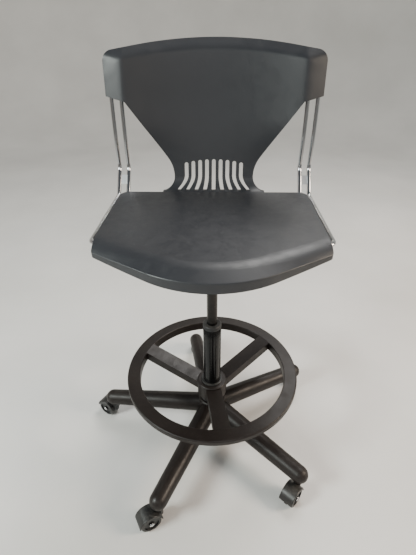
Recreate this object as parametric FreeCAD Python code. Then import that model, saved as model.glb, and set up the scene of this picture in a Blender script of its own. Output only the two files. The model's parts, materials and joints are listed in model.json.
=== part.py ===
"""Drafting chair: a one-piece moulded seat and back on a bent-rod frame, carried by a
gas lift with a foot ring, on a five-arm base with twin-wheel casters.

Millimetres.  The origin is on the floor, on the column's axis.  +Z is up, the seat faces -Y.
"""
import FreeCAD, Part
import math
import os
from FreeCAD import Vector

# ---------------------------------------------------------------- seat
SEAT_TOP = 722.0            # floor to the seat's flat top
SEAT_HALF = 250.0           # half of the seat's width
SEAT_REAR = 196.0           # rear edge of the seat, behind the column
SEAT_FRONT = -232.0         # foremost point of the front edge
FRONT_RADIUS = 240.0        # the bow of the front edge
FRONT_ANGLE = 32.0          # how far the sides of that bow sweep back
FRONT_CORNER_RADIUS = 12.0
REAR_CORNER_RADIUS = 25.0
SEAT_WALL = 4.5
ROLL_DEPTH = 40.0           # from the crest of the front roll to the front edge, at the middle
ROLL_ANGLE = 25.0           # sweep of the crest line, flatter than the edge itself
ROLL_DROP = 17.0            # how far the roll falls before it turns down into the skirt
SKIRT_MIDDLE = 39.0         # depth of the skirt's lower edge under the seat's top, at the middle
SKIRT_CORNER = 27.0         # and at the corners
SKIRT_RETURN = 18.0         # how far the skirt runs back along each side
LIP_DEPTH = 7.5             # depth of the side and rear edges
EDGE_ROUND = 2.5

# ---------------------------------------------------------------- rods' places beside the seat
ROD = 11.0                  # rod diameter
ROD_GAP = 14.0              # between the two rods of a pair
OUTER_ROD_HALF = SEAT_HALF + 3.5 + ROD / 2      # outer rods, from the middle plane
INNER_ROD_HALF = OUTER_ROD_HALF - ROD - ROD_GAP

# ---------------------------------------------------------------- neck and back
BEND_RADIUS = 40.0          # the sweep from the seat up into the neck
BEND_START = SEAT_REAR - 6  # where that sweep leaves the flat seat
NECK_HALF = 107.0           # half of the neck at its narrowest
NECK_FOOT_RADIUS = 30.0     # the flare of the neck into the seat's rear edge
NECK_SIDE_RADIUS = 85.0     # the flare of the neck into the back
BACK_LEAN_LOW = 12.5        # lean of the neck and the lower back
BACK_LEAN_HIGH = 7.5        # lean of the upper back
LEAN_CHANGE = (SEAT_TOP + 158, SEAT_TOP + 238)
BACK_WALL = 4.5
PANEL_HALF = INNER_ROD_HALF - ROD / 2 - 6.5     # half of the concave panel, crease to crease
PANEL_HOLLOW = 50.0         # how deep the panel is dished
HOOD_HALF = OUTER_ROD_HALF + ROD / 2 + 5.5      # half of the back's overall width
HOOD_BOTTOM_INNER = SEAT_TOP + 220      # lower edge of the side hoods, at the crease
HOOD_BOTTOM_OUTER = SEAT_TOP + 231      # and at the outside
HOOD_TURN = 18.0            # how far the side bands turn back from the crease
CREASE_SOFTNESS = 4.0
BACK_TOP = SEAT_TOP + 357   # floor to the top of the back, at the middle
TOP_FALL = 24.0             # how much lower the top is near the corners
TOP_CORNER_RADIUS = 26.0
TOP_BAND = 26.0             # height of the bevelled band along the top
TOP_TURN = 38.0             # how far that band turns back
RIM_MIDDLE = 27.0           # rear edge of the rim, behind the panel, at the middle
RIM_SIDE = 23.0 - ROD       # and in front of the panel's middle, at the sides

SLOT_COUNT = 9
SLOT_PITCH = 18.5
SLOT_WIDTH = 10.0
SLOT_TOP = SEAT_TOP + 75
SLOT_TOP_FALL = 8.0
SLOT_FLARE = 0.22           # how far the slots spread where the neck meets the seat
SLOT_FLARE_START = SEAT_TOP + 34
SLOT_BOTTOM = SEAT_TOP + 5

# ---------------------------------------------------------------- rod frame
ROD_RUN_Z = SEAT_TOP - SEAT_WALL - 2 - ROD / 2      # height of the runs under the seat
ROD_REAR_Y = SEAT_REAR + 4                  # where the runs turn up behind the seat
ROD_KNEE = (247.0, SEAT_TOP + 51)           # y, z of the upper bend
ROD_WAIST = (240.5, SEAT_TOP + 150)         # y, z of the rods' gentle forward bow
ROD_TOP = (252.0, SEAT_TOP + 284)           # y, z of the rod ends, inside the hoods
OUTER_CROSS_Y = -88.0       # where the outer rods turn in under the seat
INNER_CROSS_Y = 85.0
ROD_BEND = 18.0
KNEE_BEND = 30.0
BOW_RADIUS = 900.0
BRIDGE_LENGTH = 25.0
BRIDGE_THICK = 4.0
BRIDGE_Z = SEAT_TOP + 23
ROD_CAP = 5.0               # thickness of the plastic end caps
SADDLE_X = 60.0             # clamp blocks that hold the crossings, from the middle plane
SADDLE_SIZE = (20.0, 18.0)
GUIDE_HEIGHT = 20.0         # blocks inside the hoods that hold the rod tops
SLEEVE_WALL_THICK = 3.0     # inner and rear walls of the hoods

# ---------------------------------------------------------------- seat support
PISTON = 28.0               # diameter of the gas lift's moving cylinder
PLATE_HALF_X = 90.0
PLATE_FRONT = -100.0
PLATE_REAR = 98.0
PLATE_THICK = 3.0
PLATE_CORNER = 12.0
HOUSING = (76.0, 56.0, 26.0)    # x, y, z of the box that holds the release lever
HOUSING_WALL = 3.0
SOCKET_R = PISTON / 2 + 8
SOCKET_LENGTH = 51.0
BOSS_R = 8.0
BOSS_X = 70.0
BOSS_Y = 55.0
SCREW = 6.0
SCREW_HEAD = (11.0, 3.5)        # diameter, height
LEVER = 8.0                 # release lever's diameter
LEVER_REACH = SEAT_HALF - 25    # from the column axis to the lever's outer end
LEVER_TAIL = 6.0            # how far its inner end reaches past the button
LEVER_PIVOT_X = 26.0
LEVER_BOSS = (14.0, 14.0)   # diameter and width of the boss round the pivot pin
GRIP = (14.0, 50.0)         # diameter and length of the lever's grip
PIN = 5.0
PRESS_GAP = 0.3             # between the lever and the button it presses
SPRING_WIRE = 1.0
SPRING_TURNS = 5

# ---------------------------------------------------------------- base and casters
WHEEL = 55.0                # wheel diameter
COLUMN = 50.0               # diameter of the gas lift's outer tube
ARM_COUNT = 5
ARM_FIRST = 101.9           # direction of the rear arm, degrees from +X
ARM_REACH = 321.3           # column axis to a caster's stem
ARM_TIP_R = 23.5
ARM_TIP_Z = WHEEL + 30      # centre height of the arm at its tip
ARM_ROOT_Z = ARM_TIP_Z + 22
ARM_ROOT_R = 29.0
ARM_WALL = 4.0
ARM_MOUTH = (24.0, 34.0)    # width of the opening under an arm, at its root and its tip
TIP_SOLID = 28.0            # length of arm left solid round the caster's socket
TIP_BOSS_R = 14.0
BASE_HUB_R = COLUMN / 2 + 15
BASE_HUB_TOP = ARM_ROOT_Z + 35
BASE_HUB_BOTTOM = ARM_ROOT_Z - 49
BASE_HUB_ROUND = 6.0
SLEEVE_WALL = 3.0
WHEEL_WIDTH = 14.0
WHEEL_GAP = 5.0             # half of the space between a caster's two wheels
WHEEL_ROUND = 3.5
WHEEL_RECESS = (WHEEL - 16, 3.0)    # diameter and depth of the dish in a wheel's outer face
WHEEL_HUB = 14.0
TRAIL = WHEEL * 0.54
AXLE = 8.0
AXLE_OVER = 1.5             # how far the axle's ends stand out of the wheels
STEM = 11.0
STEM_TOP = ARM_TIP_Z + 15
STEM_IN_HOOD = 14.0
SOCKET_WALL = 2.0
HOOD_GAP = 1.5              # between a wheel's tread and its hood
HOOD_WALL = 3.0
HOOD_FLOOR = 3.0            # how far above the axle the hood ends
CASTER_WEB = 8.0
CASTER_NECK_R = 9.5
TIP_GAP = 1.0               # between a caster and the arm above it
CASTER_HEADINGS = (92.0, 150.0, -150.0, -130.0, 90.0)

# ---------------------------------------------------------------- gas lift
COLUMN_TOP = 415.0
COLUMN_BOTTOM = BASE_HUB_BOTTOM + 4
COLUMN_WALL = 2.0
PISTON_WALL = 2.5
PISTON_BOTTOM = COLUMN_TOP - 118
PISTON_TAPER = 1.0          # how much the radius narrows towards the top of the cone
PISTON_CROWN = 16.0         # solid top of the cylinder, which guides the button
BUSH_LIP = 12.0             # height of the guide bush that shows above the tube
BUSH_LENGTH = 90.0
SHAFT = 10.0                # piston rod diameter
SHAFT_BOTTOM = COLUMN_BOTTOM + 1
HEAD_Z = COLUMN_TOP - 30    # underside of the piston head
HEAD_LENGTH = 14.0
END_GUIDE = 15.0
BUTTON = 8.0
BUTTON_LENGTH = 21.0
FLOOR_PLATE = (COLUMN_BOTTOM + 6, 6.0)      # height and thickness of the plate in the tube
RACE_THICK = 3.0
RACE = 30.0
BUMPER_HEIGHT = 14.0
CLIP = (18.0, 3.0)
RUNNING = 0.06              # radial clearance of a running fit
FIT = 0.02                  # radial clearance of a fixed fit

# ---------------------------------------------------------------- foot ring
RING_OUTER = 244.0
RING_BAND = 36.0
RING_TOP = BASE_HUB_TOP + 116
RING_DEPTH = 27.0           # depth of the inner flange
RING_LIP = 14.0             # depth of the outer flange
RING_WALL = 5.0
RING_ROUND = 4.0
SPOKE_COUNT = 3
SPOKE_FIRST = -82.0         # direction of the front spoke, degrees from +X
SPOKE_WIDTH = 43.0
SPOKE_HUB_Z = BASE_HUB_TOP + 54     # where the line of a spoke's top meets the column axis
HUB_BOTTOM = BASE_HUB_TOP + 24
HUB_TOP = HUB_BOTTOM + 48
HUB_R = COLUMN / 2 + 18
COLLET_WALL = 6.5
NUT = (COLUMN + 24, 14.0)   # diameter and height of the collet's nut

Z_AXIS = Vector(0, 0, 1)


# ---------------------------------------------------------------- small helpers
def rad(degrees):
    return math.radians(degrees)


def polar(radius, degrees, z=0.0):
    return Vector(radius * math.cos(rad(degrees)), radius * math.sin(rad(degrees)), z)


def box(x0, x1, y0, y1, z0, z1):
    return Part.makeBox(x1 - x0, y1 - y0, z1 - z0, Vector(x0, y0, z0))


def cylinder(radius, z0, z1, x=0.0, y=0.0):
    return Part.makeCylinder(radius, z1 - z0, Vector(x, y, z0))


def tube(outer, inner, z0, z1):
    return cylinder(outer, z0, z1).cut(cylinder(inner, z0 - 1, z1 + 1))


def bar(radius, start, end):
    return Part.makeCylinder(radius, (end - start).Length, start, end - start)


def turned(shape, degrees, centre=Vector(0, 0, 0)):
    copy = shape.copy()
    copy.rotate(centre, Z_AXIS, degrees)
    return copy


def moved(shape, vector):
    copy = shape.copy()
    copy.translate(vector)
    return copy


def mirrored(shape):
    return shape.mirror(Vector(0, 0, 0), Vector(1, 0, 0))


def fused(shapes):
    result = shapes[0].multiFuse(shapes[1:]) if len(shapes) > 1 else shapes[0]
    return result.removeSplitter()


def group(shapes):
    """Separate solids that share one node, such as a set of like screws."""
    return Part.makeCompound(shapes)


def save(name, shape):
    shape.exportStep("parts/" + name + ".step")


def rounded_path(points, radii, closed=False):
    """A wire of straight runs with a tangent arc of the given radius at each corner."""
    count = len(points)
    ends = []
    for i in range(count):
        radius = radii[i]
        if radius <= 0 or (not closed and i in (0, count - 1)):
            ends.append((points[i], None, points[i]))
            continue
        corner = points[i]
        back = (points[i - 1] - corner).normalize()
        ahead = (points[(i + 1) % count] - corner).normalize()
        half = back.getAngle(ahead) / 2
        reach = radius / math.tan(half)
        middle = (back + ahead).normalize() * (radius / math.sin(half) - radius)
        ends.append((corner + back * reach, corner + middle, corner + ahead * reach))
    edges = []
    for i in range(count):
        start, middle, end = ends[i]
        if middle is not None:
            edges.append(Part.Arc(start, middle, end).toShape())
        following = ends[(i + 1) % count][0]
        if (closed or i < count - 1) and (following - end).Length > 1e-6:
            edges.append(Part.makeLine(end, following))
    return Part.Wire(edges)


def prism(points, radii, direction):
    """The rounded outline through these points, extruded along the direction."""
    return Part.Face(rounded_path(points, radii, closed=True)).extrude(direction)


def edges_where(shape, test):
    return [edge for edge in shape.Edges if test(edge)]


# ---------------------------------------------------------------- seat tray
def edge_y(x, apex, angle):
    return apex + abs(x) * math.tan(rad(angle))


def apex_of(front, radius, angle):
    """Where the straight sides of a bowed front edge would meet, on the middle plane."""
    return front - radius * (1 / math.cos(rad(angle)) - 1)


def seat_outline(inset, z, height):
    """The seat in plan, drawn in by inset, as a solid."""
    half = SEAT_HALF - inset
    rear = SEAT_REAR - inset
    apex = apex_of(SEAT_FRONT, FRONT_RADIUS, FRONT_ANGLE) + inset / math.cos(rad(FRONT_ANGLE))
    corner = edge_y(half, apex, FRONT_ANGLE)
    points = [Vector(0, apex, z), Vector(half, corner, z), Vector(half, rear, z),
              Vector(-half, rear, z), Vector(-half, corner, z)]
    front = FRONT_CORNER_RADIUS - inset
    back = REAR_CORNER_RADIUS - inset
    return prism(points, [FRONT_RADIUS - inset, front, back, back, front], Vector(0, 0, height))


def roll_cut(inset, top):
    """What the front roll takes off the seat: a band that falls from crest to skirt."""
    far_x = SEAT_HALF + 60
    far_y = SEAT_FRONT - 160
    crest = apex_of(SEAT_FRONT + ROLL_DEPTH + inset / 2, FRONT_RADIUS, ROLL_ANGLE)
    edge = apex_of(SEAT_FRONT + inset, FRONT_RADIUS - inset, FRONT_ANGLE)
    wires = []
    for apex, angle, z in ((crest, ROLL_ANGLE, top), (edge, FRONT_ANGLE, top - ROLL_DROP)):
        side = edge_y(far_x, apex, angle)
        points = [Vector(0, apex, z), Vector(far_x, side, z), Vector(far_x, far_y, z),
                  Vector(-far_x, far_y, z), Vector(-far_x, side, z)]
        wires.append(rounded_path(points, [FRONT_RADIUS - inset, 0, 0, 0, 0], closed=True))
    return Part.makeLoft(wires, True, True)


def seat_block(inset):
    depth = SKIRT_MIDDLE + 20
    top = SEAT_TOP - inset
    return seat_outline(inset, top - depth, depth).cut(roll_cut(inset, top))


def seat_tray():
    outer = seat_block(0.0)
    crest = edges_where(outer, lambda e: e.BoundBox.ZMin > SEAT_TOP - 0.01
                        and e.BoundBox.YMax < SEAT_FRONT + 150 and e.BoundBox.XLength > 50)
    outer = outer.makeFillet(60.0, crest)
    rim = edges_where(outer, lambda e: e.BoundBox.ZMin > SEAT_TOP - 0.01
                      and e.BoundBox.YMax > SEAT_FRONT + 150)
    outer = outer.makeFillet(EDGE_ROUND, rim)
    tray = outer.cut(seat_block(SEAT_WALL))
    far = SEAT_HALF + 50
    low = SEAT_TOP - 200
    corner_y = edge_y(SEAT_HALF, apex_of(SEAT_FRONT, FRONT_RADIUS, FRONT_ANGLE), FRONT_ANGLE)
    return_y = corner_y + SKIRT_RETURN
    tray = tray.cut(box(-far, far, return_y, SEAT_REAR + 50, low, SEAT_TOP - LIP_DEPTH))
    # room for the rods where they turn in under the seat, and where they rise behind it
    under = ROD_RUN_Z + ROD / 2 + 1
    tray = tray.cut(box(-far, far, OUTER_CROSS_Y - ROD / 2 - 1, OUTER_CROSS_Y + 2 * ROD_BEND, low, under))
    for side in (-1, 1):
        middle = side * INNER_ROD_HALF
        tray = tray.cut(box(middle - ROD, middle + ROD, BEND_START - 5, SEAT_REAR + 50, low, under))
    # the skirt's lower edge is a shallow arc, deepest at the middle
    rise = (SKIRT_MIDDLE - SKIRT_CORNER) * (far / SEAT_HALF) ** 2
    middle = Vector(0, -2 * far, SEAT_TOP - SKIRT_MIDDLE)
    left = Vector(-far, -2 * far, middle.z + rise)
    right = Vector(far, -2 * far, middle.z + rise)
    drop = Vector(0, 0, low - left.z)
    below = Part.Face(Part.Wire([Part.Arc(left, middle, right).toShape(),
                                 Part.makeLine(right, right + drop),
                                 Part.makeLine(right + drop, left + drop),
                                 Part.makeLine(left + drop, left)]))
    tray = tray.cut(below.extrude(Vector(0, far * 2 + return_y, 0)))
    # the rear edge opens where the neck rises
    foot = NECK_HALF + NECK_FOOT_RADIUS
    return tray.cut(box(-foot, foot, BEND_START, SEAT_REAR + 50, low, SEAT_TOP + 5))


# ---------------------------------------------------------------- neck and back
def neck_side_angle():
    """Lean of the back's diagonal sides: a tangent from the hood's corner to the neck's arc."""
    across = PANEL_HALF - (NECK_HALF + NECK_SIDE_RADIUS)
    up = HOOD_BOTTOM_INNER - (SEAT_TOP + NECK_FOOT_RADIUS)
    return math.atan2(across, up) + math.asin(NECK_SIDE_RADIUS / math.hypot(across, up))


def top_z(x):
    """Height of the back's bowed upper edge, before its corners are rounded."""
    return BACK_TOP - TOP_FALL * (x / (HOOD_HALF - TOP_CORNER_RADIUS)) ** 2


def top_bow():
    """Radius that rounds the corners of the three-cornered line of the back's upper edge."""
    corner = TOP_FALL * (HOOD_HALF / 2) / (HOOD_HALF - TOP_CORNER_RADIUS) ** 2
    return 0.96 * (HOOD_HALF / 4) / corner


def back_outline():
    """The back's outline as seen from the front, as a deep prism."""
    y = 0.0
    waist = SEAT_TOP + NECK_FOOT_RADIUS
    reach = NECK_SIDE_RADIUS * math.tan(neck_side_angle() / 2)
    right = [Vector(NECK_HALF, y, SEAT_TOP), Vector(NECK_HALF, y, waist + reach),
             Vector(PANEL_HALF, y, HOOD_BOTTOM_INNER), Vector(HOOD_HALF, y, HOOD_BOTTOM_OUTER),
             Vector(HOOD_HALF, y, top_z(HOOD_HALF)), Vector(HOOD_HALF / 2, y, top_z(HOOD_HALF / 2))]
    left = [Vector(-p.x, p.y, p.z) for p in reversed(right)]
    radii = [0, NECK_SIDE_RADIUS, 0, 0, TOP_CORNER_RADIUS, top_bow()]
    middle = Vector(0, y, BACK_TOP)
    return prism(right + [middle] + left, radii + [top_bow()] + radii[::-1], Vector(0, 600, 0))


def rim_inside():
    """What the rim encloses, open below the hoods so that the neck has no rim."""
    y = 0.0
    half = HOOD_HALF - BACK_WALL
    far = HOOD_HALF + 60
    right = [Vector(far, y, SEAT_TOP), Vector(far, y, HOOD_BOTTOM_INNER - 0.1),
             Vector(half, y, HOOD_BOTTOM_INNER - 0.1), Vector(half, y, top_z(HOOD_HALF) - BACK_WALL),
             Vector(HOOD_HALF / 2, y, top_z(HOOD_HALF / 2) - BACK_WALL)]
    left = [Vector(-p.x, p.y, p.z) for p in reversed(right)]
    radii = [0, 0, 0, TOP_CORNER_RADIUS - BACK_WALL, top_bow()]
    middle = Vector(0, y, BACK_TOP - BACK_WALL)
    return prism(right + [middle] + left, radii + [top_bow()] + radii[::-1], Vector(0, 600, 0))


def bend_end():
    """Where the sweep from the seat ends and the leaning neck begins."""
    swing = rad(90 - BACK_LEAN_LOW)
    return Vector(0, BEND_START + BEND_RADIUS * math.sin(swing),
                  SEAT_TOP + BEND_RADIUS * (1 - math.cos(swing)))


def profile_y(z):
    """The front face of the panel on the middle plane."""
    low, high = LEAN_CHANGE
    slope_low = math.tan(rad(BACK_LEAN_LOW))
    slope_high = math.tan(rad(BACK_LEAN_HIGH))
    start = bend_end()
    y = start.y + slope_low * (min(z, low) - start.z)
    if z > low:
        part = min(z, high) - low
        y += slope_low * part - (slope_low - slope_high) * part ** 2 / (2 * (high - low))
    if z > high:
        y += slope_high * (z - high)
    return y


def hollow_share(z):
    """The dish of the panel grows from nothing at the bend to its full depth at the hoods."""
    part = (z - bend_end().z) / (LEAN_CHANGE[0] + 20 - bend_end().z)
    part = max(0.0, min(1.0, part))
    return part * part * (3 - 2 * part)


def soft_ramp(value):
    """Nothing below zero and the value above it, with a soft corner."""
    return (value + math.hypot(value, CREASE_SOFTNESS)) / 2


def front_y(x, z):
    """The back's front face: a dished panel inside bands that turn back at the sides and top."""
    out = soft_ramp(abs(x) - PANEL_HALF)
    dish = PANEL_HOLLOW * ((abs(x) - out) / PANEL_HALF) ** 2
    side = math.tan(rad(HOOD_TURN)) * out
    top = math.tan(rad(TOP_TURN)) * soft_ramp(z - top_z(x) + TOP_BAND)
    return profile_y(z) - dish * hollow_share(z) + side + soft_ramp(top - side)


def rim_y(x, z):
    """The rear edge of the back's rim."""
    return profile_y(z) + RIM_MIDDLE - (RIM_MIDDLE + RIM_SIDE) * (x / HOOD_HALF) ** 2


def steps_between(low, high, count):
    return [low + (high - low) * i / count for i in range(count + 1)]


def face_through(height, xs, zs, shift=0.0):
    surface = Part.BSplineSurface()
    surface.interpolate([[Vector(x, height(x, z) + shift, z) for x in xs] for z in zs])
    return surface.toShape()


def back_body():
    """The back as a wall behind its front face, with a rim round the top and the sides."""
    far = HOOD_HALF + 12
    base = bend_end().z
    low = base - 20
    high = BACK_TOP + 12
    half = steps_between(0.0, PANEL_HALF - 20, 8) + steps_between(PANEL_HALF - 12, far, 20)
    xs = [-x for x in reversed(half[1:])] + half
    crease = top_z(PANEL_HALF) - TOP_BAND - 20
    zs = steps_between(low, crease - 8, 22) + steps_between(crease, high, 26)
    rearward = Vector(0, 300, 0)
    wall = BACK_WALL / math.cos(rad(BACK_LEAN_LOW))
    rim = face_through(rim_y, steps_between(-far - 8, far + 8, 16),
                       steps_between(low - 8, high + 8, 16)).extrude(-rearward)
    solid = face_through(front_y, xs, zs).extrude(rearward).common(back_outline()).common(rim)
    solid = solid.cut(face_through(front_y, xs, zs, wall).extrude(rearward).common(rim_inside()))
    # the lower end is square to the lean, where it meets the bend
    start = bend_end()
    below = box(-far, far, -100, 100, -100, 0)
    below.rotate(Vector(0, 0, 0), Vector(1, 0, 0), -BACK_LEAN_LOW)
    return solid.cut(moved(below, start))


def sleeve_walls():
    """The inner and rear walls that close each side hood round its pair of rods."""
    walls = []
    low = HOOD_BOTTOM_INNER + 6
    high = top_z(PANEL_HALF) - TOP_BAND - 10
    for side in (-1, 1):
        sections = []
        for z in (low, high):
            inner_x = PANEL_HALF + 1
            outer_x = HOOD_HALF - BACK_WALL / 2
            front = front_y(PANEL_HALF, z) + BACK_WALL / 2
            rear = rim_y(HOOD_HALF, z) - 1
            wall = SLEEVE_WALL_THICK
            points = [(inner_x, front), (inner_x + wall, front), (inner_x + wall, rear - wall),
                      (outer_x, rear - wall), (outer_x, rear), (inner_x, rear)]
            corners = [Vector(side * x, y, z) for x, y in points]
            sections.append(Part.makePolygon(corners + corners[:1]))
        walls.append(Part.makeLoft(sections, True, True))
    return walls


def neck_bend():
    """The sweep from the seat into the neck, flared at its foot."""
    swing = rad(90 - BACK_LEAN_LOW)
    centre = Vector(0, BEND_START, SEAT_TOP + BEND_RADIUS)
    foot = NECK_HALF + NECK_FOOT_RADIUS

    def on(radius, angle):
        return centre + Vector(-foot, radius * math.sin(angle), -radius * math.cos(angle))

    outer_r = BEND_RADIUS + SEAT_WALL
    inner_arc = Part.Arc(on(BEND_RADIUS, 0), on(BEND_RADIUS, swing / 2), on(BEND_RADIUS, swing))
    outer_arc = Part.Arc(on(outer_r, swing), on(outer_r, swing / 2), on(outer_r, 0))
    wire = Part.Wire([inner_arc.toShape(), Part.makeLine(on(BEND_RADIUS, swing), on(outer_r, swing)),
                      outer_arc.toShape(), Part.makeLine(on(outer_r, 0), on(BEND_RADIUS, 0))])
    bend = Part.Face(wire).extrude(Vector(2 * foot, 0, 0))
    waist = SEAT_TOP + NECK_FOOT_RADIUS
    for side in (-1, 1):
        corner = box(NECK_HALF, foot + 20, 0, 400, SEAT_TOP, waist + 60)
        corner = corner.cut(box(NECK_HALF - 1, foot + 30, -1, 401, SEAT_TOP - 1, waist)
                            .cut(Part.makeCylinder(NECK_FOOT_RADIUS, 500, Vector(foot, -50, waist),
                                                   Vector(0, 1, 0))))
        bend = bend.cut(corner if side > 0 else mirrored(corner))
    return bend


def slots():
    """The row of slots up the neck, straight above and spreading towards the seat."""
    cutters = []
    for i in range(SLOT_COUNT):
        place = i - (SLOT_COUNT - 1) / 2
        share = abs(place) / ((SLOT_COUNT - 1) / 2)
        top = SLOT_TOP - SLOT_TOP_FALL * share ** 2

        def edge_at(z, side):
            depth = max(0.0, SLOT_FLARE_START - z) / (SLOT_FLARE_START - SLOT_BOTTOM)
            x = place * SLOT_PITCH * (1 + SLOT_FLARE * depth ** 2)
            return Vector(x + side * SLOT_WIDTH / 2, 100, z)

        levels = [SLOT_FLARE_START - (SLOT_FLARE_START - SLOT_BOTTOM + 4) * n / 4 for n in range(5)]
        edges = []
        for side in (-1, 1):
            curve = Part.BSplineCurve()
            curve.interpolate([edge_at(z, side) for z in levels])
            edges.append(curve.toShape())
            edges.append(Part.makeLine(edge_at(SLOT_FLARE_START, side),
                                       edge_at(top - SLOT_WIDTH / 2, side)))
        head = edge_at(top - SLOT_WIDTH / 2, 0) + Vector(0, 0, SLOT_WIDTH / 2)
        edges.append(Part.Arc(edge_at(top - SLOT_WIDTH / 2, -1), head,
                              edge_at(top - SLOT_WIDTH / 2, 1)).toShape())
        edges.append(Part.makeLine(edge_at(levels[-1], -1), edge_at(levels[-1], 1)))
        wire = Part.Wire(Part.__sortEdges__(edges))
        cutters.append(Part.Face(wire).extrude(Vector(0, 300, 0)))
    return cutters


def bosses():
    """Four screw bosses under the seat."""
    low = plate_top()
    posts = [cylinder(BOSS_R, low, SEAT_TOP - SEAT_WALL + 1, x, y) for x, y in boss_places()]
    holes = [cylinder(SCREW / 2 + FIT, low - 1, SEAT_TOP - SEAT_WALL + 1, x, y)
             for x, y in boss_places()]
    return posts, holes


def shell():
    posts, holes = bosses()
    whole = fused([seat_tray(), neck_bend(), back_body()] + sleeve_walls() + posts)
    return whole.cut(fused(slots())).cut(group(holes))


# ---------------------------------------------------------------- rod frame
def plate_top():
    return ROD_RUN_Z - ROD / 2


def boss_places():
    return [(sx * BOSS_X, sy * BOSS_Y) for sx in (-1, 1) for sy in (-1, 1)]


def frame_rod(half, cross_y):
    """One bent rod: up into a hood at each end, crossing under the seat."""
    def side(sign):
        x = sign * half
        points = [Vector(x, *ROD_TOP), Vector(x, *ROD_WAIST), Vector(x, *ROD_KNEE),
                  Vector(x, ROD_REAR_Y, ROD_RUN_Z), Vector(x, cross_y, ROD_RUN_Z)]
        return points, [0, BOW_RADIUS, KNEE_BEND, ROD_BEND, ROD_BEND]

    right, radii = side(1)
    left, _ = side(-1)
    path = rounded_path(right + left[::-1], radii + radii[::-1])
    ring = Part.Wire(Part.makeCircle(ROD / 2, right[0], right[1] - right[0]))
    return path.makePipeShell([ring], True, False)


def rod_bore(half, z0, z1):
    """The straight top of a rod between two heights, a fixed fit larger."""
    top = Vector(half, *ROD_TOP)
    waist = Vector(half, *ROD_WAIST)
    rise = (top - waist).normalize()
    start = top + rise * ((z0 - top.z) / rise.z)
    end = top + rise * ((z1 - top.z) / rise.z)
    return bar(ROD / 2 + FIT, start, end)


def bridge_plate(rods):
    """A small plate welded between the two rods behind the seat's corner."""
    low = Vector(0, ROD_REAR_Y, ROD_RUN_Z)
    knee = Vector(0, *ROD_KNEE)
    along = (knee - low).normalize()
    middle = low + along * ((BRIDGE_Z - low.z) / along.z)
    length = BRIDGE_LENGTH / 2
    half = BRIDGE_THICK / 2
    plate = box(INNER_ROD_HALF, OUTER_ROD_HALF, -half, half, -length, length)
    lean = math.degrees(math.atan2(along.y, along.z))
    plate.rotate(Vector(0, 0, 0), Vector(1, 0, 0), -lean)
    return moved(plate, middle).cut(group(rods))


def rod_end_caps():
    caps = []
    for half in (OUTER_ROD_HALF, INNER_ROD_HALF):
        top = Vector(half, *ROD_TOP)
        rise = (top - Vector(half, *ROD_WAIST)).normalize()
        cap = bar(ROD / 2, top, top + rise * ROD_CAP)
        far = max(cap.Edges, key=lambda e: e.BoundBox.ZMax)
        cap = cap.makeFillet(ROD / 6, [far])
        caps += [cap, mirrored(cap)]
    return group(caps)


def rod_saddles():
    """Blocks clamped between the plate and the seat, round each crossing."""
    blocks = []
    wide, deep = SADDLE_SIZE
    for x in (-SADDLE_X, SADDLE_X):
        for y in (OUTER_CROSS_Y, INNER_CROSS_Y):
            block = box(x - wide / 2, x + wide / 2, y - deep / 2, y + deep / 2,
                        plate_top(), SEAT_TOP - SEAT_WALL)
            bore = bar(ROD / 2 + FIT, Vector(x - wide, y, ROD_RUN_Z), Vector(x + wide, y, ROD_RUN_Z))
            blocks.append(block.cut(bore))
    return group(blocks)


def rod_guides():
    """Blocks inside the hoods that hold the rods against the hoods' rear walls."""
    low = HOOD_BOTTOM_OUTER + 8
    high = low + GUIDE_HEIGHT
    sections = []
    for z in (low, high):
        rear = rim_y(HOOD_HALF, z) - 1 - SLEEVE_WALL_THICK - 0.1
        front = rear - ROD - 1.5
        x0 = PANEL_HALF + 1 + SLEEVE_WALL_THICK + 0.3
        x1 = HOOD_HALF - BACK_WALL - 0.3
        corners = [Vector(x, y, z) for x, y in ((x0, front), (x1, front), (x1, rear), (x0, rear))]
        sections.append(Part.makePolygon(corners + corners[:1]))
    block = Part.makeLoft(sections, True, True)
    bores = [rod_bore(half, low - 5, high + 5) for half in (OUTER_ROD_HALF, INNER_ROD_HALF)]
    block = block.cut(group(bores))
    return group([block, mirrored(block)])


# ---------------------------------------------------------------- seat support
def housing_top():
    return plate_top() - PLATE_THICK


def housing_bottom():
    return housing_top() - HOUSING[2]


def lever_z():
    """Height of the lever's axis: it lies just clear of the button's top."""
    return housing_bottom() + BUTTON_LENGTH / 2 + PRESS_GAP + LEVER / 2


def mounting_plate():
    corners = [Vector(-PLATE_HALF_X, PLATE_FRONT, housing_top()),
               Vector(PLATE_HALF_X, PLATE_FRONT, housing_top()),
               Vector(PLATE_HALF_X, PLATE_REAR, housing_top()),
               Vector(-PLATE_HALF_X, PLATE_REAR, housing_top())]
    plate = prism(corners, [PLATE_CORNER] * 4, Vector(0, 0, PLATE_THICK))
    holes = [cylinder(SCREW / 2 + 0.3, housing_top() - 1, plate_top() + 1, x, y)
             for x, y in boss_places()]
    return plate.cut(group(holes))


def lever_housing():
    half_x, half_y = HOUSING[0] / 2, HOUSING[1] / 2
    wall = HOUSING_WALL
    case = box(-half_x, half_x, -half_y, half_y, housing_bottom(), housing_top())
    upright = edges_where(case, lambda e: e.BoundBox.ZLength > HOUSING[2] - 1)
    case = case.makeFillet(4.0, upright)
    case = case.cut(box(-half_x + wall, half_x - wall, -half_y + wall, half_y - wall,
                        housing_bottom() + wall, housing_top() + 1))
    case = case.cut(cylinder(PISTON / 2 - PISTON_TAPER - 3, housing_bottom() - 1,
                             housing_bottom() + wall + 1))
    room = LEVER / 2 + 1.5
    case = case.cut(box(half_x - wall - 1, half_x + 1, -room, room, lever_z() - room,
                        lever_z() + room))
    pin = bar(PIN / 2 + FIT, Vector(LEVER_PIVOT_X, -half_y - 1, lever_z()),
              Vector(LEVER_PIVOT_X, half_y + 1, lever_z()))
    return case.cut(pin)


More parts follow.
